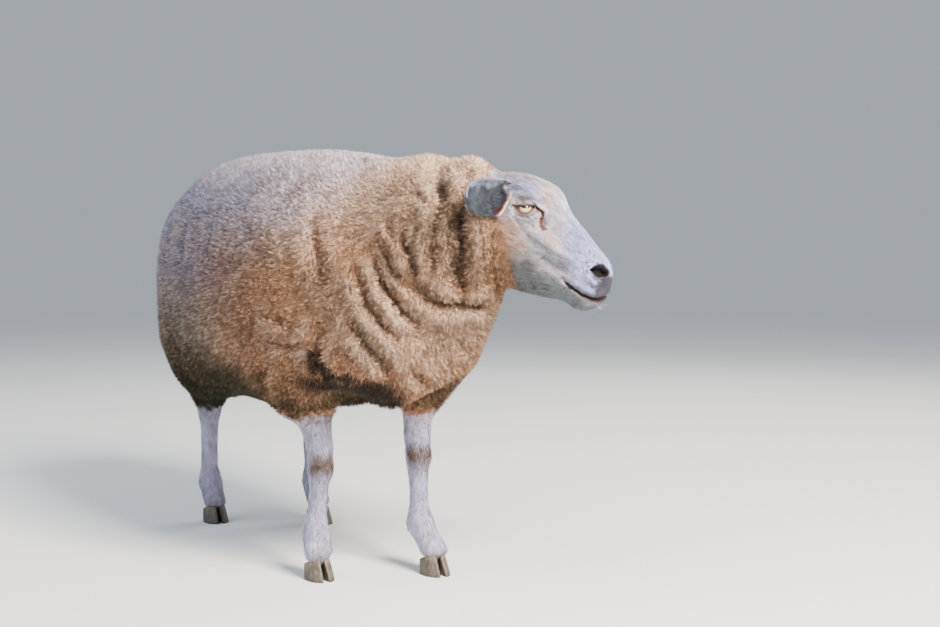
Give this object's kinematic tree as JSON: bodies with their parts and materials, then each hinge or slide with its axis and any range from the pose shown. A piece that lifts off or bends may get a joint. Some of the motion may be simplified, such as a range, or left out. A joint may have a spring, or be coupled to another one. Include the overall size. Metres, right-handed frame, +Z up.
{
  "type": "sheep",
  "caption": "Life-size standing sheep with a deep close-curled fleece, a bare white face and legs, and its head turned to its left.",
  "frame": {"origin": "on the floor, under the middle of the bounding box", "axes": "+Z up; the body faces -Y, its left side is towards +X, and the head is turned towards +X"},
  "size_m": [0.6, 1.1156, 0.8],
  "materials": {
    "fleece": "matt, deep cream wool",
    "hair": "matt, short white hair over pale pink skin",
    "horn": "worn satin horn",
    "eye": "wet gloss"
  },
  "bodies": {
    "root": {"trunk": "fleece", "neck": "fleece", "tail": "fleece", "head": "hair", "ear_right": "hair", "ear_left": "hair", "eye_right": "eye", "eye_left": "eye", "leg_fore_right": "hair", "claw_fore_right_outer": "horn", "dewclaw_fore_right_outer": "horn", "claw_fore_right_inner": "horn", "dewclaw_fore_right_inner": "horn", "leg_fore_left": "hair", "claw_fore_left_outer": "horn", "dewclaw_fore_left_outer": "horn", "claw_fore_left_inner": "horn", "dewclaw_fore_left_inner": "horn", "leg_hind_right": "hair", "claw_hind_right_outer": "horn", "dewclaw_hind_right_outer": "horn", "claw_hind_right_inner": "horn", "dewclaw_hind_right_inner": "horn", "leg_hind_left": "hair", "claw_hind_left_outer": "horn", "dewclaw_hind_left_outer": "horn", "claw_hind_left_inner": "horn", "dewclaw_hind_left_inner": "horn"}
  },
  "joints": []
}
